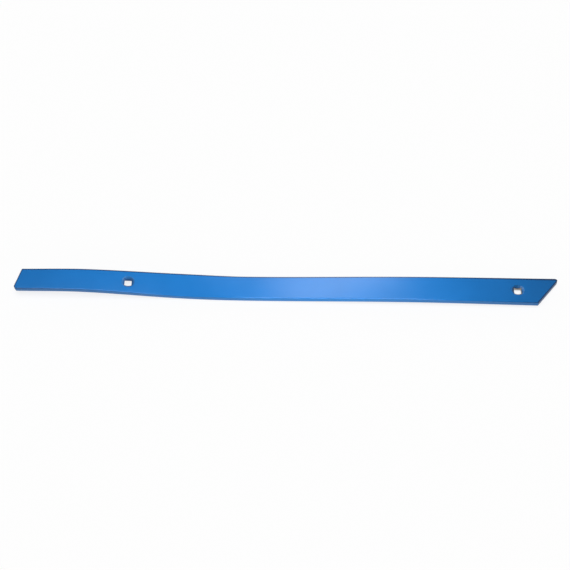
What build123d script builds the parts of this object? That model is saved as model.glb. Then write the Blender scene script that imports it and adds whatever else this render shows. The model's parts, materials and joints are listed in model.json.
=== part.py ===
"""Mouldboard strip: one long bowed and twisted steel bar of a slatted plough body.

The strip lies face up on the floor, as it comes to rest. X runs from its tail
to its front end, Y across it to the far edge, and Z up. Millimetres, degrees.
"""
from build123d import *
import math
import os

# Bar stock
tail_width = 42.8
front_width = 57.4
thickness = 9.0
edge_radius = 1.5         # of the four long edges, as rolled

# Lengths along the centre line, from the middle of one end cut to the middle of the other
tail_overhang = 198.5     # tail cut to rear hole
hole_spacing = 700.0
front_overhang = 55.5     # front hole to front cut
length = tail_overhang + hole_spacing + front_overhang

# End cuts, turned in the plane of the face from square across the strip
tail_cut_angle = 15.2
front_cut_angle = 37.1
tail_clip = 5.0           # leg of the corner taken off the near side of the tail
front_tip_radius = 4.0    # rounding of the pointed far corner of the front end
tip_bite = 0.02           # the rounding stands so far inside the cut and the side, to meet both

# Square holes for countersunk plough bolts
hole_square = 13.0
hole_corner_radius = 1.0
countersink_diameter = 23.5
countersink_angle = 104.0  # whole angle of the cone

# Forming: the face's centre line stands so high above the floor, and the far
# edge is tilted up so far, at the two ends and at four marks between them
rear_bend_from_tail = 119.0
waist_from_tail = 296.0
belly_from_tail = 412.0
front_bend_from_tail = 709.0

tail_height = 25.1
rear_bend_height = 25.9
waist_height = 13.0
belly_height = 9.4
front_bend_height = 14.6
front_height = 12.6

tail_tilt = 4.3
rear_bend_tilt = 4.7
waist_tilt = 6.6
belly_tilt = -0.6
front_bend_tilt = -2.7
front_tilt = -2.6

sections = 19                  # bar sections that the loft runs through
cutter_reach = 2 * thickness   # cutters stand so far above the face and below it, past the back

marks = (
    0.0, rear_bend_from_tail, waist_from_tail, belly_from_tail, front_bend_from_tail, length
)
heights = (
    tail_height, rear_bend_height, waist_height, belly_height, front_bend_height, front_height
)
tilts = (tail_tilt, rear_bend_tilt, waist_tilt, belly_tilt, front_bend_tilt, front_tilt)


def slopes(values):
    """Slope at each mark, from its neighbours; at the ends, of the one span."""
    last = len(marks) - 1
    found = []
    for i in range(last + 1):
        low, high = max(i - 1, 0), min(i + 1, last)
        found.append((values[high] - values[low]) / (marks[high] - marks[low]))
    return found


def along(values, x):
    """Value and slope at x of the smooth cubic curve through the marks."""
    if x <= marks[0]:
        slope = slopes(values)[0]
        return values[0] + slope * (x - marks[0]), slope
    if x >= marks[-1]:
        slope = slopes(values)[-1]
        return values[-1] + slope * (x - marks[-1]), slope
    i = max(k for k in range(len(marks) - 1) if marks[k] <= x)
    span = marks[i + 1] - marks[i]
    u = (x - marks[i]) / span
    start, end = slopes(values)[i] * span, slopes(values)[i + 1] * span
    rise = values[i + 1] - values[i]
    square, cube = 3 * rise - 2 * start - end, start + end - 2 * rise
    value = values[i] + start * u + square * u**2 + cube * u**3
    slope = (start + 2 * square * u + 3 * cube * u**2) / span
    return value, slope


def width_at(x):
    return tail_width + (front_width - tail_width) * x / length


def face_plane(x):
    """Plane on the middle of the face at x: its own x along the strip, its z out of the face."""
    height, slope = along(heights, x)
    tilt, _ = along(tilts, x)
    level = Plane(origin=(x, 0, height), x_dir=(1, 0, slope), z_dir=(-slope, 0, 1))
    return level.rotated((tilt, 0, 0))


def bar_section(x):
    """Section of the bar at x, square to its centre line."""
    face = face_plane(x)
    middle = face.origin - face.z_dir * thickness / 2
    across = Plane(origin=middle, x_dir=face.y_dir, z_dir=face.x_dir)
    return across * RectangleRounded(width_at(x), thickness, edge_radius)


def bar():
    """The formed bar, longer than the strip by a width at each end."""
    start, end = -front_width, length + front_width
    step = (end - start) / (sections - 1)
    return loft([bar_section(start + i * step) for i in range(sections)])


def end_plane(x, angle):
    """Plane of a slanted cut through the middle of the face at x, looking to the front."""
    face = face_plane(x)
    turn = math.radians(angle)
    ahead = face.x_dir * math.cos(turn) - face.y_dir * math.sin(turn)
    return Plane(origin=face.origin, x_dir=face.z_dir, z_dir=ahead)


def clip_plane():
    """Plane that takes off the tail's near corner, looking to the front."""
    face = face_plane(0)
    turn = math.radians(tail_cut_angle)
    cut = face.x_dir * math.sin(turn) + face.y_dir * math.cos(turn)
    corner = face.origin - cut * tail_width / 2 / math.cos(turn)
    on_cut = corner + cut * tail_clip
    on_side = corner + face.x_dir * tail_clip
    ahead = face.z_dir.cross(on_side - on_cut)
    return Plane(origin=on_cut, x_dir=face.z_dir, z_dir=ahead)


def tip_waste():
    """Block that takes the pointed far corner of the front end off to a round."""
    turn = math.radians(front_cut_angle)
    flare = math.atan((front_width - tail_width) / 2 / length)
    reach = front_width / 2 / (1 / math.tan(turn) - math.tan(flare))
    tip = Vector(reach, front_width / 2 + reach * math.tan(flare))
    down_cut = Vector(-math.sin(turn), -math.cos(turn))
    back_side = Vector(-math.cos(flare), -math.sin(flare))
    inward = (down_cut + back_side).normalized()
    half_angle = math.radians(inward.get_angle(down_cut))
    middle = tip + inward * ((front_tip_radius - tip_bite) / math.sin(half_angle))
    off_cut = Vector(math.cos(turn), -math.sin(turn)) * 2 * front_tip_radius
    off_side = Vector(-math.sin(flare), math.cos(flare)) * 2 * front_tip_radius
    beyond = tip * 2 - middle
    corner = make_face(Polyline(middle, middle + off_cut, beyond, middle + off_side, close=True))
    waste = corner - Pos(middle) * Circle(front_tip_radius)
    return face_plane(length) * extrude(waste, cutter_reach, both=True)


def bolt_hole(x):
    """Cutter for one square hole with its countersink, square to the face at x."""
    half_angle = math.radians(countersink_angle / 2)
    depth = (countersink_diameter - hole_square) / 2 / math.tan(half_angle)
    above = thickness / 2
    mouth = countersink_diameter / 2 + above * math.tan(half_angle)
    outline = RectangleRounded(hole_square, hole_square, hole_corner_radius)
    square = extrude(outline, cutter_reach, both=True)
    cone = Pos(0, 0, (above - depth) / 2) * Cone(hole_square / 2, mouth, above + depth)
    return face_plane(x) * (square + cone)


def strip():
    """The whole strip, from the bar: ends cut, corners eased, holes through."""
    shape = split(bar(), bisect_by=end_plane(0, tail_cut_angle), keep=Keep.TOP)
    shape = split(shape, bisect_by=end_plane(length, front_cut_angle), keep=Keep.BOTTOM)
    shape = split(shape, bisect_by=clip_plane(), keep=Keep.TOP)
    shape -= tip_waste()
    for x in (tail_overhang, tail_overhang + hole_spacing):
        shape -= bolt_hole(x)
    return shape


def on_the_floor(shape):
    """Moves the shape so that the middle of its box's underside is the origin."""
    box = shape.bounding_box()
    return Pos(-box.center().X, -box.center().Y, -box.min.Z) * shape


os.makedirs("parts", exist_ok=True)
export_step(on_the_floor(strip()), "parts/mouldboard_strip.step")
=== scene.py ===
# %% [markdown]
# # A mouldboard strip in blue enamel
#
# The real object is one long flat bar of hard rolled steel. It is one of the strips that
# turn the soil on a slatted plough body. In the workshop it is sheared to length on two
# slants, punched with two square holes that are countersunk for plough bolts, pressed hot
# into a slight bow and twist, and dipped in blue enamel.
#
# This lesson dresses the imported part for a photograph. It loads the part as a fixed frame,
# builds the strip again as a clean net of four-sided faces, gives it its finishes, and sets
# up a small studio round it.

# %% Load the frame
import json
import math

import bmesh
import bpy
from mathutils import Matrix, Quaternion, Vector


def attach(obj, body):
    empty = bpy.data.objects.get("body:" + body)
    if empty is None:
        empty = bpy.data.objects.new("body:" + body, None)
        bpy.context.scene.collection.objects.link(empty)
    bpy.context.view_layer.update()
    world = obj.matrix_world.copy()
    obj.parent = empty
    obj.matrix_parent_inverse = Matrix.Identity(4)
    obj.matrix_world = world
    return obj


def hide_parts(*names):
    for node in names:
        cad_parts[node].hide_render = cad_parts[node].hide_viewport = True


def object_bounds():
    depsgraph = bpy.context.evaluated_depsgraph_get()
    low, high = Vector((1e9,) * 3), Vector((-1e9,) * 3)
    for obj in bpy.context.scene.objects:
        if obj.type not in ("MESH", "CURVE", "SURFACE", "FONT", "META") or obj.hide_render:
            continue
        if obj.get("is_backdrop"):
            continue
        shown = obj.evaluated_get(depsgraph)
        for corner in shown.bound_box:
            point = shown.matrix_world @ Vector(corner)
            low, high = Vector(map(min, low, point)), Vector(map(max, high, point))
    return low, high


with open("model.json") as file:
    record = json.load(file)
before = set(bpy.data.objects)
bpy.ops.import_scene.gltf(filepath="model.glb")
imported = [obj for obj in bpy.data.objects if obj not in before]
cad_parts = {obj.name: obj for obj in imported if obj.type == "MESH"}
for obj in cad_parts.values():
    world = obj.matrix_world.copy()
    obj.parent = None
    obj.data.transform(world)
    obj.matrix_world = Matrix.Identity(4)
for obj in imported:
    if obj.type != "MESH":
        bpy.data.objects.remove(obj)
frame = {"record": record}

MM = 0.001    # sizes of the strip are written in millimetres, and Blender works in metres
cad_low, cad_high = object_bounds()
mounts = {mount["name"]: Vector(mount["pos_m"]) for mount in frame["record"]["mounts"]}
print("packed part, mm:", [round(side / MM, 1) for side in cad_high - cad_low])

# %% [markdown]
# ## The flat blank
#
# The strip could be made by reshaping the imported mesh, but that mesh is made of long thin
# triangles, and a glossy face shows each one. It is cleaner to follow the workshop: lay out
# the flat blank, cut and punch it while it is flat, and bend it last. In the blank, x runs
# along the middle of the face from the tail to the front end, y runs across the bar, and z
# stands out of the face.

# %% Sizes of the blank
tail_width = 42.8 * MM
front_width = 57.4 * MM
thickness = 9.0 * MM
edge_radius = 1.5 * MM        # of the four long edges, as rolled

tail_overhang = 198.5 * MM    # tail cut to rear hole
hole_spacing = 700.0 * MM
front_overhang = 55.5 * MM    # front hole to front cut
length = tail_overhang + hole_spacing + front_overhang
flare = (front_width - tail_width) / 2 / length    # how fast each side runs outwards

face_z = -0.05 * MM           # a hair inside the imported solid, whose facets cut its curves short
back_z = -thickness - face_z


def half_width_at(x):
    return tail_width / 2 + flare * x


print("blank, mm:", round(length / MM, 1), "along the middle of the face")

# %% [markdown]
# ## The cuts and the holes
#
# Both ends are sheared on a slant. The near corner of the tail is clipped and the sharp tip
# of the front end is rounded, so that neither digs in. Each hole is a square, which keeps
# the neck of a plough bolt from turning, under a cone for the bolt's flat head.

# %% Sizes of the cuts and holes
tail_cut_angle = math.radians(15.2)
front_cut_angle = math.radians(37.1)
tail_clip = 5.0 * MM
front_tip_radius = 4.0 * MM
cut_edge_radius = 0.5 * MM    # shears leave sharp edges, and the enamel on them is a little round

hole_square = 13.0 * MM
hole_corner_radius = 1.0 * MM
hole_edge_radius = 0.3 * MM
countersink_diameter = 23.5 * MM
countersink_angle = math.radians(104.0)
rim_radius = 1.0 * MM         # round the countersink's mouth, where enamel has flowed over

holes = {
    "rear_bolt_hole": Vector((tail_overhang, 0)),
    "front_bolt_hole": Vector((tail_overhang + hole_spacing, 0)),
}
cone_depth = (countersink_diameter - hole_square) / 2 / math.tan(countersink_angle / 2)
print("cone, mm deep:", round(cone_depth / MM, 2))

# %% [markdown]
# ## The bow and the twist
#
# The press leaves the bar a little bowed and twisted. Six marks along it say how high the
# middle of the face stands over the floor, and how far the far edge is tilted up. Straight
# runs between the marks would be easier, but steel bends in one sweep and the gloss shows
# every kink, so a smooth cubic curve joins them.

# %% The forming curve
marks = [x * MM for x in (0.0, 119.0, 296.0, 412.0, 709.0)] + [length]
heights = [z * MM for z in (25.1, 25.9, 13.0, 9.4, 14.6, 12.6)]
tilts = [math.radians(angle) for angle in (4.3, 4.7, 6.6, -0.6, -2.7, -2.6)]


def slope_at(values, i):
    """Slope at mark i, from its neighbours; at the ends, of the one span."""
    low, high = max(i - 1, 0), min(i + 1, len(marks) - 1)
    return (values[high] - values[low]) / (marks[high] - marks[low])


def along(values, x):
    """Value and slope at x of the smooth curve through the marks."""
    if not marks[0] < x < marks[-1]:
        end = 0 if x <= marks[0] else len(marks) - 1
        slope = slope_at(values, end)
        return values[end] + slope * (x - marks[end]), slope
    i = max(k for k in range(len(marks) - 1) if marks[k] <= x)
    span, rise = marks[i + 1] - marks[i], values[i + 1] - values[i]
    start, end = slope_at(values, i) * span, slope_at(values, i + 1) * span
    square, cube = 3 * rise - 2 * start - end, start + end - 2 * rise
    u = (x - marks[i]) / span
    value = values[i] + start * u + square * u**2 + cube * u**3
    return value, (start + 2 * square * u + 3 * cube * u**2) / span


print("far edge tilted up at the rear hole, degrees:",
      round(math.degrees(along(tilts, tail_overhang)[0]), 1))

# %% [markdown]
# ## From the blank to the formed bar
#
# One function is the press. It takes a point of the flat blank and says where it lies in the
# formed bar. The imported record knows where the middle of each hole's face is, so the rear
# hole ties the blank to the part, and the front hole shows how well they agree.

# %% Bend a point
rear = holes["rear_bolt_hole"]
to_part = mounts["rear_bolt_hole"] - Vector((rear.x, 0, along(heights, rear.x)[0]))


def formed(x, y, z):
    """Where a point of the flat blank lies once the bar is bowed and twisted."""
    height, slope = along(heights, x)
    twist = Quaternion(Vector((1, 0, slope)), along(tilts, x)[0])
    across = twist @ Vector((0, 1, 0))
    out = twist @ Vector((-slope, 0, 1)).normalized()
    return Vector((x, 0, height)) + across * y + out * z + to_part


for name, hole in holes.items():
    off = (formed(hole.x, 0, 0) - mounts[name]).length
    print(name, "lies off its mount by", round(off / MM, 3), "mm")

# %% [markdown]
# ## Stations
#
# The blank is swept from closed loops of points, one loop at each station along the bar.
# Stations stand close together at the ends and beside the holes, where the outline turns
# sharply, and further apart on the plain run. Near each end the loops lean over, little by
# little, until the last one lies on the slanted cut.

# %% Stations along the bar
patch = 17.0 * MM             # half of the square of net that each hole takes
fine = 1.6 * MM
plain = 5.0 * MM
tail_run = 20.0 * MM          # fine stations go from the tail to here
tail_lean = 60.0 * MM         # and leaning loops to here
front_lean = holes["front_bolt_hole"].x + patch


def spread(start, end, step):
    """Evenly spaced values after start, up to and with end."""
    count = max(round((end - start) / step), 1)
    return [start + (end - start) * (i + 1) / count for i in range(count)]


def lean_at(x):
    """How far forward a loop goes for each step across the bar."""
    at_tail = max(1 - x / tail_lean, 0) * math.tan(tail_cut_angle)
    at_front = max((x - front_lean) / (length - front_lean), 0) * math.tan(front_cut_angle)
    return at_tail + at_front


stations = [0.0]
for end, step in (
    (tail_run, fine),
    (holes["rear_bolt_hole"].x - patch, plain),
    (holes["rear_bolt_hole"].x + patch, fine),
    (holes["front_bolt_hole"].x - patch, plain),
    (length, fine),
):
    stations += spread(stations[-1], end, step)
print("stations:", len(stations))

# %% [markdown]
# ## The section
#
# A rolled bar is a rectangle with small round edges. A bevel modifier could round them, but
# it would also catch the cuts and the holes, so the arcs are written into the section.

# %% The section loop
rows = 32                     # faces across the bar
side_rows = 3                 # faces up each side
arc_steps = 5                 # faces round each long edge
back_row = rows + 2 * arc_steps + side_rows    # the underside's first point, at the far edge


def section(half_width):
    """Points round the bar's section with their outward directions: across the face from the
    near edge, down the far side, back across the underside and up the near side. The section's
    own middle is at 0, 0."""
    y, z = half_width - edge_radius, (face_z - back_z) / 2 - edge_radius
    corners = [Vector(c) for c in ((y, z), (y, -z), (-y, -z), (-y, z))]
    points = []
    for k, corner in enumerate(corners):
        faces = side_rows if k % 2 else rows
        angle = math.pi / 2 * (1 - k)
        out = Vector((math.cos(angle), math.sin(angle)))
        for i in range(faces):
            points.append((corners[k - 1].lerp(corner, i / faces) + out * edge_radius, out))
        for i in range(arc_steps):
            turned = angle - math.pi / 2 * i / arc_steps
            out = Vector((math.cos(turned), math.sin(turned)))
            points.append((corner + out * edge_radius, out))
    return points


print("points round the section:", len(section(tail_width / 2)))

# %% [markdown]
# ## The two shaped corners
#
# A boolean cut would leave ragged many-sided faces at the clipped corner and the round tip.
# Here the net is squeezed instead. Every point near a corner moves along the ray from a
# fixed centre, by just as much as the outline moves on that ray, so the net stays
# four-sided and its edge runs along the new outline.

# %% Squeeze the net at a corner
def corner_of(sign, x, half_width, cut_angle):
    """A corner of the blank and the directions from it along the cut and along the side."""
    y = sign * half_width / (1 - sign * flare * math.tan(cut_angle))
    into = 1 if x == 0 else -1
    cut = Vector((math.sin(cut_angle), math.cos(cut_angle))) * -sign
    side = Vector((1, sign * flare)).normalized() * into
    return Vector((x + y * math.tan(cut_angle), y)), cut, side


def eased(point, where, leg=0.0, radius=0.0):
    """Moves a point of the net so that the corner there is clipped by leg or rounded to radius."""
    corner, cut, side = where
    half = cut.angle(side) / 2
    centre = corner + (cut + side) * leg
    if radius:
        leg = radius / math.tan(half)
        centre = corner + (cut + side).normalized() * radius / math.sin(half)
    cut_end, side_end = corner + cut * leg - centre, corner + side * leg - centre
    ray = point - centre
    to_cut = ray.cross(side_end) / cut_end.cross(side_end)
    to_side = cut_end.cross(ray) / cut_end.cross(side_end)
    if min(to_cut, to_side) <= 0:
        return point    # the ray doesn't pass the corner
    reach = (corner - centre).cross(side_end) / cut_end.cross(side_end)
    # In lengths of the ray: how far it runs to the old outline, and to the new one
    old = 1 / (max(to_cut, to_side) - min(to_cut, to_side) * (reach - 1) / reach)
    new = radius / ray.length if radius else 1 / (to_cut + to_side)
    return centre + ray * new / old


tail_corner = corner_of(-1, 0, tail_width / 2, tail_cut_angle)
front_tip = corner_of(1, length, front_width / 2, front_cut_angle)
for name, where in (("tail corner", tail_corner), ("front tip", front_tip)):
    print(name, "has an angle of", round(math.degrees(where[1].angle(where[2])), 1), "degrees")

# %% [markdown]
# ## How far from an edge
#
# The finish paints a darker line of shade along the edges, where the rounded edges turn
# away from the light, so it needs to know how far each point lies from the nearest edge.
# In the flat blank that is easy to work out. The painted shade is lighter on the near side
# and at the mouths of the holes, most of all in the middle of the bar, and a little lighter
# along the two cuts. It is darkest along the far side, above all near the pointed front tip.
# A place with lighter painted shade is written as one that lies further from the edge.

# %% Distance to the nearest edge
edge_shade_eased = 3.4 * MM           # so much further, lightening the painted shade on the near side and at the holes' mouths
ease_lost_at_ends = 0.5            # share of it lost at the near side's two ends, where the painted shade stays darker
cut_shade_eased = 1.0 * MM               # so much further, lightening the painted shade along the two cuts and at the square holes
tip_run = 200.0 * MM          # over so long a run up to the front the far side's painted shade grows darker
tip_shade_deepened = 1.6 * MM        # so much nearer, darkening the painted shade on the far side at the front
well_inside = 10.0 * MM       # stands for any point that gets no painted edge shade


def edge_shade_eased_at(x):
    """How much the near side's painted shade is lightened at x, less from the middle of the bar out
    to the ends.
    """
    return edge_shade_eased * (1 - ease_lost_at_ends * (2 * x / length - 1) ** 2)


def to_edge(point):
    """Distance in the face from a point to the nearest edge, shifted to set how dark its painted
    shade is.
    """
    x, y = point
    deeper_tip_shade = tip_shade_deepened * max(1 - (length - x) / tip_run, 0)
    distances = [
        half_width_at(x) - y - deeper_tip_shade,
        half_width_at(x) + y + edge_shade_eased_at(x),
        (x - y * math.tan(tail_cut_angle)) * math.cos(tail_cut_angle) + cut_shade_eased,
        (length + y * math.tan(front_cut_angle) - x) * math.cos(front_cut_angle) + cut_shade_eased,
    ]
    for hole in holes.values():
        distances.append(abs((point - hole).length - countersink_diameter / 2) + edge_shade_eased)
    return max(min(distances), 0)


print("rear hole's rim to the side, mm:",
      round((half_width_at(rear.x) - countersink_diameter / 2) / MM, 1))

# %% [markdown]
# ## Laying the net
#
# A bmesh holds the net while it grows. Its points are placed in the blank and stored already
# formed. Each one carries its distance to the edge as a number, which the finish reads later to
# paint the edge shade.
# The faces get one of three finishes: enamel on the rolled faces, enamel on cut or punched
# steel, or bare steel.

# %% Points and faces of the net
FACE, CUT, BARE = range(3)    # the places of the three finishes in the mesh's list
net = bmesh.new()
edge_distance = net.verts.layers.float.new("edge_distance")


def place(x, y, z, distance):
    """Adds the point of the net that lies at x, y, z in the flat blank."""
    flat = eased(Vector((x, y)), tail_corner, leg=tail_clip)
    flat = eased(flat, front_tip, radius=front_tip_radius)
    vert = net.verts.new(formed(flat.x, flat.y, z))
    vert[edge_distance] = distance / MM
    return vert


def skin(first, second, finish=FACE):
    """Joins two closed loops with faces, and leaves out those that lack a corner."""
    count = len(first)
    for j in range(count):
        k = (j + 1) % count
        corners = (first[j], first[k], second[k], second[j])
        if None not in corners:
            net.faces.new(corners).material_index = finish


print("the net's points carry:", [layer.name for layer in net.verts.layers.float.values()])

# %% [markdown]
# ## Sweeping the bar
#
# A loop follows the section, leans as its station asks, and leaves out the points that lie
# inside a hole's patch. At a cut, four loops turn through a right angle and round its edge.
# On the two sides of the bar, the distance that a point carries runs up or down to the
# nearer long edge.

# %% One loop of the sweep
half_turned = math.cos(math.radians(45))    # past this a point belongs to the side
cut_edge_turns = [math.radians(angle) for angle in (0, 30, 60, 90)]    # from side to cut


def loop(x, lean, inset=0.0, skip=()):
    """One closed loop of the net. The points in skip are left out, for a hole."""
    verts = []
    for j, (point, out) in enumerate(section(half_width_at(x))):
        y, z = point - out * inset
        y /= 1 - math.copysign(flare, y) * lean    # where a leaning loop meets the flared side
        leant = x + lean * y
        distance = to_edge(Vector((leant, y)))
        if abs(out.x) > half_turned:
            # on the sides the painted edge shade darkens towards the nearer long edge, and is
            # lighter on the near side
            distance = thickness / 2 - abs(z) + (edge_shade_eased_at(leant) if y < 0 else 0)
        verts.append(None if j in skip else place(leant, y, z - thickness / 2, distance))
    return verts


def cut_loops(x, into, cut_angle):
    """Loops that round the edge of a cut, from the side of the bar to the cut."""
    made = []
    for turned in cut_edge_turns:
        back = cut_edge_radius * (1 - math.sin(turned)) / math.cos(cut_angle)
        inset = cut_edge_radius * (1 - math.cos(turned))
        made.append(loop(x + into * back, math.tan(cut_angle), inset))
    return made


def rows_beside(hole):
    """The lowest and the highest row of the net that border the hole's patch."""
    low = round(rows / 2 * (1 - patch / (half_width_at(hole.x) - edge_radius)))
    return low, rows - low


for name, hole in holes.items():
    print(name, "lies between rows", rows_beside(hole))

# %% [markdown]
# ## The whole sweep
#
# The sweep could be one grid with the holes cut out of it later. It is easier to leave their
# patches out at once. The loops that round the edges of the two cuts take the place of the
# first and the last station. Each patch keeps the numbers of the loops that it touches, so
# that its hole can be sewn to their points.

# %% Sweep the loops
loops = cut_loops(0.0, 1, tail_cut_angle)[::-1]
borders = {name: [] for name in holes}    # each patch's loops, by number, with their stations
for x in stations[1:-1]:
    skip = set()
    for name, hole in holes.items():
        low, high = rows_beside(hole)
        inside = [j + 1 for j in range(low, high - 1)]
        if abs(x - hole.x) < patch - fine / 2:
            skip |= set(inside) | {back_row + j for j in inside}
        if abs(x - hole.x) < patch + fine / 2:
            borders[name].append((len(loops), x))
    loops.append(loop(x, lean_at(x), skip=skip))
loops += cut_loops(length, -1, front_cut_angle)
for first, second in zip(loops, loops[1:]):
    skin(first, second)
print("loops:", len(loops), "points:", len(net.verts))

# %% [markdown]
# ## Closing the ends
#
# One face with many corners would close a sheared end, but it would spread the distances
# that its points carry unevenly. So narrow faces run from the face's row of points to the
# underside's row, and only each rounded side gets one face of its own.

# %% Close the ends
for end, turned in ((loops[0], False), (loops[-1], True)):
    foot = end[back_row:back_row + rows + 1][::-1]
    caps = [(end[j], end[j + 1], foot[j + 1], foot[j]) for j in range(rows)]
    caps.append(end[rows:back_row + 1])
    caps.append(end[back_row + rows:] + end[:1])
    for cap in caps:
        net.faces.new(cap[::-1] if turned else cap).material_index = CUT
print("faces:", len(net.faces))

# %% [markdown]
# ## The profile of a hole
#
# A hole could be cut with a boolean too, but its rim would then be as ragged as the corners.
# Instead spokes run in from the patch's border to the middle of the hole. They end at the
# wall of the square, so each needs to know how far out the wall stands in its direction.

# %% The outline of a hole
half_cone = countersink_angle / 2
rim_turn = math.pi / 2 - half_cone                # from the face down into the cone
mouth = countersink_diameter / 2
rim_start = mouth + rim_radius * math.tan(rim_turn / 2)
cone_start = rim_start - rim_radius * math.sin(rim_turn)


def square_radius(angle):
    """Distance from the middle of the square to its wall, at an angle round it."""
    straight = hole_square / 2 - hole_corner_radius
    high, low = sorted((abs(math.cos(angle)), abs(math.sin(angle))), reverse=True)
    if hole_square / 2 * low / high <= straight:
        return hole_square / 2 / high
    to_corner = straight * (high + low)
    return to_corner + math.sqrt(to_corner**2 - 2 * straight**2 + hole_corner_radius**2)


print("square hole, mm from its middle to the wall:", round(square_radius(0) / MM, 2),
      "and to the corner:", round(square_radius(math.pi / 4) / MM, 2))

# %% [markdown]
# ## The steps on a spoke
#
# Every spoke has the same profile: flat to the mouth, round the soft rim, down the cone to
# the square, down its wall, and out again on the underside. The same steps on each spoke
# keep every face four-sided. The countersink gets painted shade, darkest where the cone
# meets the square, so the points of the cone carry their distance up from there.

# %% The profile on one spoke
rim_steps = 4
thirds = (1 / 3, 2 / 3, 1)                        # three even steps
inward = (0.3, 0.6, 0.85)                         # steps that shorten towards the rim
outward = (0.15, 0.4, 0.7)                        # steps that lengthen from the hole


def profile(border, wall_finish):
    """Steps of (radius, z, finish, distance that sets the painted edge shade) from a border point
    of the patch in, down and out again. The distance is None where the face's own distance holds."""
    wall = square_radius(math.atan2(border.y, border.x))
    foot = wall + hole_edge_radius
    start = border.length
    steps = [(start + (rim_start - start) * share, face_z, FACE, None) for share in inward]
    for i in range(rim_steps + 1):
        turned = rim_turn * i / rim_steps
        dip = rim_radius * (1 - math.cos(turned))
        steps.append((rim_start - rim_radius * math.sin(turned), face_z - dip, FACE, None))
    for share in thirds:
        radius = cone_start + (foot - cone_start) * share
        depth = (mouth - radius) / math.tan(half_cone)
        up_the_cone = (radius - wall) / math.sin(half_cone)
        # the cone's painted shade is darkest at the square and fades up the cone
        steps.append((radius, face_z - depth, CUT, up_the_cone + cut_shade_eased))
    top = steps[-1][1] - hole_edge_radius
    steps.append((wall, top, wall_finish, well_inside))
    for share in thirds:
        low = back_z + hole_edge_radius
        steps.append((wall, top + (low - top) * share, wall_finish, well_inside))
    steps.append((foot, back_z, wall_finish, well_inside))
    steps += [(foot + (start - foot) * share, back_z, FACE, well_inside) for share in outward]
    return steps


print("steps on a spoke:", len(profile(Vector((patch, 0)), CUT)))

# %% [markdown]
# ## Punching the holes
#
# The rear hole has been enamelled right through. In the front hole the enamel has drained
# off the walls, and they show bare grey steel. Each hole starts from the border of its patch
# in the face. The spokes' points make one ring after another, each ring is joined to the one
# before, and the last is joined to the border in the underside.

# %% Punch the holes
wall_finishes = {"rear_bolt_hole": CUT, "front_bolt_hole": BARE}


def walk(count, low, high, at):
    """Goes once round a patch, from its near tail corner, and asks at(i, j) for each point."""
    last = count - 1
    ring = [at(0, j) for j in range(low, high)]
    ring += [at(i, high) for i in range(last)]
    ring += [at(last, j) for j in range(high, low, -1)]
    ring += [at(i, low) for i in range(last, 0, -1)]
    return ring


for name, hole in holes.items():
    indices, xs = zip(*borders[name])
    across = [half_width_at(x) - edge_radius for x in xs]
    size = (len(xs), *rows_beside(hole))
    flat = walk(*size, lambda i, j: Vector((xs[i] - hole.x, (2 * j / rows - 1) * across[i])))
    ring = walk(*size, lambda i, j: loops[indices[i]][j])
    back = walk(*size, lambda i, j: loops[indices[i]][back_row + rows - j])
    spokes = [profile(border, wall_finishes[name]) for border in flat]
    for steps in zip(*spokes):
        points = [border.normalized() * step[0] for border, step in zip(flat, steps)]
        finish = steps[0][2]
        inner = []
        for point, (_, z, _, distance) in zip(points, steps):
            if distance is None:
                distance = to_edge(hole + point)
            inner.append(place(hole.x + point.x, point.y, z, distance))
        skin(ring, inner, finish)
        ring = inner
    skin(ring, back)
    print(name, "has", len(flat), "spokes")

# %% [markdown]
# ## Checking the net
#
# The bar widens to the front, so its two sides are cut too, and get the darker finish of the cuts,
# which paints their shade.
# The net is checked for open edges, because an open net casts wrong shadows, and is let down
# onto the level of the imported part's lowest point.

# %% Sides, level and open edges
net.normal_update()
bmesh.ops.recalc_face_normals(net, faces=net.faces)
# the sides take the cut enamel, whose darker tones are painted shade
for face in net.faces:
    if face.material_index == FACE and abs(face.normal.y) > half_turned:
        face.material_index = CUT
drop = min(vert.co.z for vert in net.verts) - cad_low.z
bmesh.ops.translate(net, verts=net.verts, vec=(0, 0, -drop))
print("let down by", round(drop / MM, 3), "mm, volume", round(net.calc_volume() / MM**3), "mm3")
print("faces:", len(net.faces), "open edges:", sum(not edge.is_manifold for edge in net.edges))

# %% [markdown]
# ## Handing over the mesh
#
# The net becomes a mesh with smooth shading, and the strip made of it takes the packed
# part's place. It rides on the same body.

# %% The strip
mesh = bpy.data.meshes.new("strip")
net.to_mesh(mesh)
net.free()
mesh.shade_smooth()
strip = bpy.data.objects.new("strip", mesh)
scene = bpy.context.scene
scene.collection.objects.link(strip)
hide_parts("mouldboard_strip")
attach(strip, "root")
print(strip.name, "has", len(mesh.vertices), "points and", len(mesh.polygons), "faces")

# %% [markdown]
# ## Colours and nodes
#
# Paint colours are read off as sRGB hex values, and Blender wants them linear. One function
# turns them over. A second one adds any shader node with its settings and its links, so each
# finish below reads like a recipe. Sockets go by their names, apart from those that share a
# name with another socket of the same node: they go by number, and the numbers get names.

# %% Helpers for finishes
MIX_SHARE, MIX_A, MIX_B, MIX_RESULT = 0, 6, 7, 2    # of a Mix node that mixes colours
SHADER_A, SHADER_B = 1, 2                           # of a Mix Shader node
MATH_A, MATH_B = 0, 1                               # of a Math node


def colour(hex_text):
    """The linear colour of an sRGB hex value, by the numbers of the sRGB standard's curve."""
    parts = [int(hex_text[i:i + 2], 16) / 255 for i in (1, 3, 5)]
    linear = [c / 12.92 if c <= 0.04045 else ((c + 0.055) / 1.055) ** 2.4 for c in parts]
    return (*linear, 1.0)


def node(tree, kind, settings, inputs):
    """Adds a node. Settings are its own properties; inputs are values or other nodes' outputs."""
    made = tree.nodes.new("ShaderNode" + kind)
    for name, value in settings.items():
        setattr(made, name, value)
    for name, value in inputs.items():
        if isinstance(value, bpy.types.NodeSocket):
            tree.links.new(value, made.inputs[name])
        else:
            made.inputs[name].default_value = value
    return made


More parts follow.
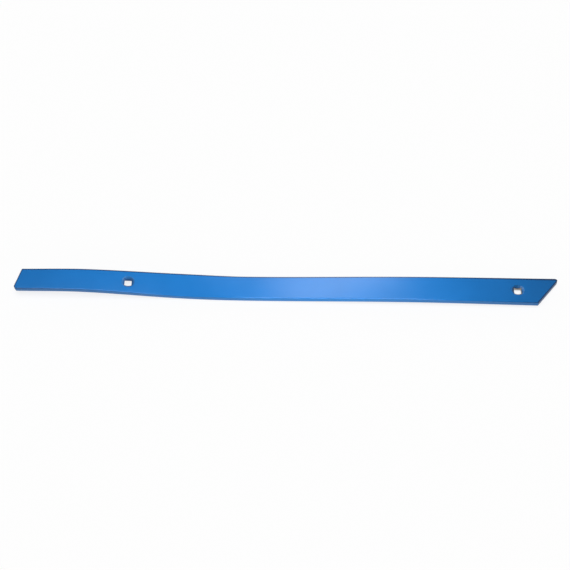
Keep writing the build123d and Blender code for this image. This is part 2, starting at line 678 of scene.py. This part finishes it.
def finish_called(name):
    """A new material, with its empty node tree."""
    material = bpy.data.materials.new(name)
    material.use_nodes = True
    material.node_tree.nodes.clear()
    return material, material.node_tree


print("a mid grey is", round(colour("#808080")[0], 3), "in linear light")

# %% [markdown]
# ## Blue enamel
#
# The finish is a stoving enamel: the bar is dipped, drained and baked. That gives the eye an
# even strong blue with a soft gloss. The film is nowhere quite even. It is thicker where it
# drained slowly and it dries to a faint orange peel. A darker line of painted shade runs
# along the edges, where the rounded edges turn away from the light.
#
# The blue is a mix of two close tones over a slow noise. An image of the painted edge shade
# would have to be drawn for this one strip, so the shade reads the distance that the net
# carries instead.

# %% The colour of the film
film_patch = 60 * MM          # patches of thicker film, about as wide as the bar
edge_shade_band = (1.8, 3.8)        # mm from the edge: painted shade up to the first, all blue from the second


def film_colour_with_edge_shade(tree, spot, thick, thin, painted_edge_shade):
    """Two close tones in slow patches, and a darker painted shade near the edges."""
    patches = node(tree, "TexNoise", {}, {"Vector": spot, "Scale": 1 / film_patch})
    film = node(tree, "Mix", {"data_type": "RGBA"}, {
        MIX_SHARE: patches.outputs["Fac"], MIX_A: colour(thin), MIX_B: colour(thick),
    })
    edge = node(tree, "Attribute", {"attribute_name": "edge_distance"}, {})
    near = node(tree, "MapRange", {"interpolation_type": "SMOOTHSTEP"}, {
        "Value": edge.outputs["Fac"], "From Min": edge_shade_band[0], "From Max": edge_shade_band[1],
        "To Min": 1.0, "To Max": 0.0,
    })
    # mixes the darker painted edge shade over the film's tones
    edge_shaded = node(tree, "Mix", {"data_type": "RGBA"}, {
        MIX_SHARE: near.outputs["Result"],
        MIX_A: film.outputs[MIX_RESULT],
        MIX_B: colour(painted_edge_shade),
    })
    return edge_shaded.outputs[MIX_RESULT]


print("the edge line fades out, mm from the edge:", edge_shade_band)

# %% [markdown]
# ## The skin of the enamel
#
# The peel and the slow waves of the rolled steel under it are far too shallow to be built
# into the net. They are bumps, which only turn the light: the waves first, and the peel on
# top of them. The enamel then joins the film's colour and its skin in one gloss.

# %% The enamel on the rolled faces
peel_size = 3 * MM            # orange peel, drawn at the coarse end of what ovens give
peel_depth = 0.008 * MM
wave_size = 80 * MM           # the mill leaves long flat waves
wave_depth = 0.12 * MM
enamel_ior = 1.5              # as alkyd resins have
enamel_roughness = 0.22       # a soft gloss, matched to the width of the highlight


def film_skin(tree, spot, grain):
    """The direction of the enamel's skin: waves of the steel, with the peel on top."""
    waves = node(tree, "TexNoise", {}, {"Vector": spot, "Scale": 1 / wave_size, "Detail": 0.0})
    rolled = node(tree, "Bump", {}, {"Height": waves.outputs["Fac"], "Distance": wave_depth})
    grained = node(tree, "Mapping", {}, {"Vector": spot, "Scale": grain})
    peel = node(tree, "TexNoise", {}, {"Vector": grained.outputs["Vector"], "Scale": 1 / peel_size})
    dried = node(tree, "Bump", {}, {
        "Height": peel.outputs["Fac"], "Distance": peel_depth, "Normal": rolled.outputs["Normal"],
    })
    return dried.outputs["Normal"]


def enamel(name, thick, thin, painted_edge_shade, roughness, grain=(1, 1, 1)):
    """Enamel in the tones of its thick and its thin film and of the painted shade at its edges.
    Grain says how many times closer the peel is along x, y and z."""
    material, tree = finish_called(name)
    spot = node(tree, "TexCoord", {}, {}).outputs["Object"]
    shader = node(tree, "BsdfPrincipled", {}, {
        "Base Color": film_colour_with_edge_shade(tree, spot, thick, thin, painted_edge_shade),
        "Roughness": roughness,
        "IOR": enamel_ior,
        "Normal": film_skin(tree, spot, grain),
    })
    node(tree, "OutputMaterial", {}, {"Surface": shader.outputs["BSDF"]})
    return material


# the darkest tone is the painted shade along the edges of the rolled faces
mesh.materials.append(enamel(
    "blue_enamel", thick="#136EB8", thin="#1B78C7", painted_edge_shade="#1B4370",
    roughness=enamel_roughness,
))
print("finishes on the strip:", len(mesh.materials))

# %% [markdown]
# ## Enamel on cut steel, with painted shade
#
# On the cut sides and ends, in the countersinks and in the rear hole the same enamel lies
# over a rougher surface. The blade and the punch draw fine lines through the thickness, and
# they show through as a duller blue. Its darker tones are painted shade for these sides, ends
# and hollows, which the lamps reach less. It is the same recipe, with its peel drawn out along z
# into lines.

# %% The enamel on the cuts
shear_lines = (3, 3, 0.4)     # the peel three times closer round the cut and drawn out along z
cut_roughness = 0.45
# darker tones than the rolled faces: painted shade on the sides, ends and countersinks
mesh.materials.append(enamel(
    "shaded_enamel_on_cut_steel", thick="#1563A0", thin="#186AAB", painted_edge_shade="#184A7E",
    roughness=cut_roughness, grain=shear_lines,
))
print("finishes on the strip:", len(mesh.materials))

# %% [markdown]
# ## Bare steel
#
# The front hole's walls are punched steel without enamel. Punching tears the steel, so it is
# grey and half dull, with fine lines along the punch's way. The lines are really a few
# hundredths of a millimetre apart, too fine to show, and are drawn coarser.

# %% The bare steel
punch_line = 1.0 * MM
punch_draw = (1, 1, 0.15)     # drawn out along the punch's way
steel_roughness = (0.35, 0.55)    # where the tear is smoother, and where it is rougher
steel, tree = finish_called("bare_punched_steel")
spot = node(tree, "TexCoord", {}, {}).outputs["Object"]
drawn = node(tree, "Mapping", {}, {"Vector": spot, "Scale": punch_draw})
lines = node(tree, "TexNoise", {}, {"Vector": drawn.outputs["Vector"], "Scale": 1 / punch_line})
tone = node(tree, "Mix", {"data_type": "RGBA"}, {
    MIX_SHARE: lines.outputs["Fac"], MIX_A: colour("#8F8D8A"), MIX_B: colour("#B9B6B1"),
})
dull = node(tree, "MapRange", {}, {
    "Value": lines.outputs["Fac"], "To Min": steel_roughness[0], "To Max": steel_roughness[1],
})
shader = node(tree, "BsdfPrincipled", {}, {
    "Base Color": tone.outputs[MIX_RESULT], "Metallic": 1.0, "Roughness": dull.outputs["Result"],
})
node(tree, "OutputMaterial", {}, {"Surface": shader.outputs["BSDF"]})
mesh.materials.append(steel)
print("finishes on the strip:", len(mesh.materials))

# %% [markdown]
# ## The white floor
#
# The photograph shows the strip on plain white. A studio has a sweep of card for that, which
# curves up behind the object. A flat floor does as well here, if it is wide enough to be the
# horizon too. It is staged: it is seen in the pictures, and is no piece of the part.

# %% The floor
floor_half = 30.0             # metres
floor_mesh = bpy.data.meshes.new("floor")
corners = [(-1, -1, 0), (1, -1, 0), (1, 1, 0), (-1, 1, 0)]
floor_mesh.from_pydata([Vector(corner) * floor_half for corner in corners], [], [range(4)])
floor = bpy.data.objects.new("floor", floor_mesh)
scene.collection.objects.link(floor)
floor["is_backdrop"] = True
print("floor, m across:", 2 * floor_half)

# %% [markdown]
# ## White paint
#
# Plain matt white paint would show grey where the light falls off, and a camera sees a sweep
# nearly burnt out. So for camera rays and clear reflections most of the floor is a glow of
# strength 1, which is white. The rest is plain paint, which keeps the strip's shadow. All
# other rays see plain paint, so the glow lights nothing but what mirrors it.

# %% The floor's paint
glow_share = 0.8              # leaves a faint shadow
white, tree = finish_called("white_sweep")
path = node(tree, "LightPath", {}, {})
seen = path.outputs["Is Camera Ray"]
for kind in ("Is Glossy Ray", "Is Transmission Ray"):
    either = node(tree, "Math", {"operation": "MAXIMUM"}, {MATH_A: seen, MATH_B: path.outputs[kind]})
    seen = either.outputs["Value"]
share = node(tree, "Math", {"operation": "MULTIPLY"}, {MATH_A: seen, MATH_B: glow_share})
paint = node(tree, "BsdfDiffuse", {}, {"Color": colour("#FCFCFC")})
glow = node(tree, "Emission", {}, {"Color": colour("#FFFFFF"), "Strength": 1.0})
floor_mix = node(tree, "MixShader", {}, {
    "Fac": share.outputs["Value"],
    SHADER_A: paint.outputs["BSDF"],
    SHADER_B: glow.outputs["Emission"],
})
node(tree, "OutputMaterial", {}, {"Surface": floor_mix.outputs["Shader"]})
floor_mesh.materials.append(white)
print("share of the floor's white that is glow, as the camera sees it:", glow_share)

# %% [markdown]
# ## The room's light
#
# A studio is bright low down, where the sweep throws light back, and darker towards the
# ceiling. An even white world would lay a milky sheen on the enamel, so the world is white
# up to a little over the horizon and falls to a dim grey overhead.

# %% The world
low_light, ceiling_light = 1.0, 0.15
low_end, ceiling_start = 0.2, 0.5     # heights on the unit sphere
studio = bpy.data.worlds.new("studio")
scene.world = studio
studio.use_nodes = True
tree = studio.node_tree
tree.nodes.clear()
direction = node(tree, "TexCoord", {}, {}).outputs["Generated"]
up = node(tree, "SeparateXYZ", {}, {"Vector": direction}).outputs["Z"]
level = node(tree, "MapRange", {"interpolation_type": "SMOOTHSTEP"}, {
    "Value": up, "From Min": low_end, "From Max": ceiling_start,
    "To Min": low_light, "To Max": ceiling_light,
})
sky = node(tree, "Background", {}, {
    "Color": colour("#FFFFFF"), "Strength": level.outputs["Result"],
})
node(tree, "OutputWorld", {}, {"Surface": sky.outputs["Background"]})
print("world strength:", low_light, "to", ceiling_light)

# %% [markdown]
# ## One lamp
#
# In a studio, flags and grids keep each lamp's light on what it is meant for. Light linking
# does the same here: every lamp gets a list with the one object that it lights. The camera
# never sees a lamp itself, but the gloss may mirror it.

# %% A lamp for one object
def lamp(name, kind, at, toward, energy, receiver, turned=0.0, mirrored=True, **shape):
    """A lamp that lights one object only. It is turned round the way it looks, and the gloss
    mirrors it unless mirrored is False. Shape takes the light's own settings."""
    light = bpy.data.lights.new(name, kind)
    light.energy = energy
    for key, value in shape.items():
        setattr(light, key, value)
    made = bpy.data.objects.new(name, light)
    made.location = at
    made.rotation_mode = "QUATERNION"
    looking = (Vector(toward) - Vector(at)).to_track_quat("-Z", "Y")
    made.rotation_quaternion = looking @ Quaternion((0, 0, 1), turned)
    made.visible_camera = False
    made.visible_glossy = mirrored
    scene.collection.objects.link(made)
    group = bpy.data.collections.new(name + "_lights")
    group.objects.link(receiver)
    made.light_linking.receiver_collection = group
    print(name, "stands", round((Vector(at) - Vector(toward)).length, 2), "m away")


print("lamps so far:", len(bpy.data.lights))

# %% [markdown]
# ## The five lamps
#
# A broad sun lights the floor alone, as lamps do that are aimed at a sweep. One softbox hangs
# low over the front half and a weaker one over the tail: they shade the face from its middle
# to its darker ends. A narrow slanted one stands behind the strip, where the face mirrors it
# to the camera, and lays the pale sheen on the middle. The last stands low in front and
# lights the near side. It is kept out of the gloss, because the face would mirror it as a
# burnt patch to anyone who looks from behind. Places and sizes are in metres, strengths in
# watts, and the sun's in watts on a square metre.

# %% The lamps
lamp("sweep_light", "SUN", at=(0, -0.5, 2.0), toward=(0, 0, 0), energy=2.3, receiver=floor,
     angle=math.radians(60))
lamp("front_softbox", "AREA", at=(0.097, 0, 0.364), toward=(0.097, 0, 0), energy=1.85,
     receiver=strip, shape="RECTANGLE", size=0.40, size_y=0.42)
lamp("tail_softbox", "AREA", at=(-0.39, 0, 0.30), toward=(-0.39, 0, 0), energy=0.51,
     receiver=strip, shape="RECTANGLE", size=0.33, size_y=0.15)
lamp("sheen_softbox", "AREA", at=(0.106, 0.70, 0.738), toward=(0.106, 0, 0), energy=0.63,
     receiver=strip, turned=math.radians(23), shape="RECTANGLE", size=0.37, size_y=0.05)
lamp("side_softbox", "AREA", at=(0.06, -0.28, 0.06), toward=(0.06, 0, 0), energy=0.6,
     receiver=strip, mirrored=False, shape="RECTANGLE", size=0.20, size_y=0.06)
print("lamps:", len(bpy.data.lights))

# %% [markdown]
# ## The camera
#
# The photograph looks down on the strip from its near side with a long lens, so its sides
# stay almost parallel. Where the ends, edges and holes lie in the photograph gives the
# camera's angles, its distance and its lens.

# %% The camera
photo_pixels = 570
focal_pixels = 1329.724
target = Vector((-3.35, 13.23, -0.04)) * MM
camera_distance = 2408.207 * MM
azimuth, elevation, roll = (math.radians(angle) for angle in (-1.219, 52.805, -0.093))
forward = Vector((
    math.sin(azimuth) * math.cos(elevation),
    math.cos(azimuth) * math.cos(elevation),
    -math.sin(elevation),
))
camera = bpy.data.objects.new("camera", bpy.data.cameras.new("camera"))
camera.data.lens = focal_pixels / photo_pixels * camera.data.sensor_width
camera.location = target - forward * camera_distance
camera.rotation_mode = "QUATERNION"
camera.rotation_quaternion = forward.to_track_quat("-Z", "Y") @ Quaternion((0, 0, 1), roll)
scene.collection.objects.link(camera)
scene.camera = camera
scene.view_settings.view_transform = "Standard"
print("lens:", round(camera.data.lens, 1), "mm")

# %% [markdown]
# ## Sizes, and the end
#
# The dressed part has to stay inside the imported one. Both boxes are printed, the imported
# part's near the start.

# %% Print the sizes
low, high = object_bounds()
print("dressed part, mm:", [round(side / MM, 1) for side in high - low])
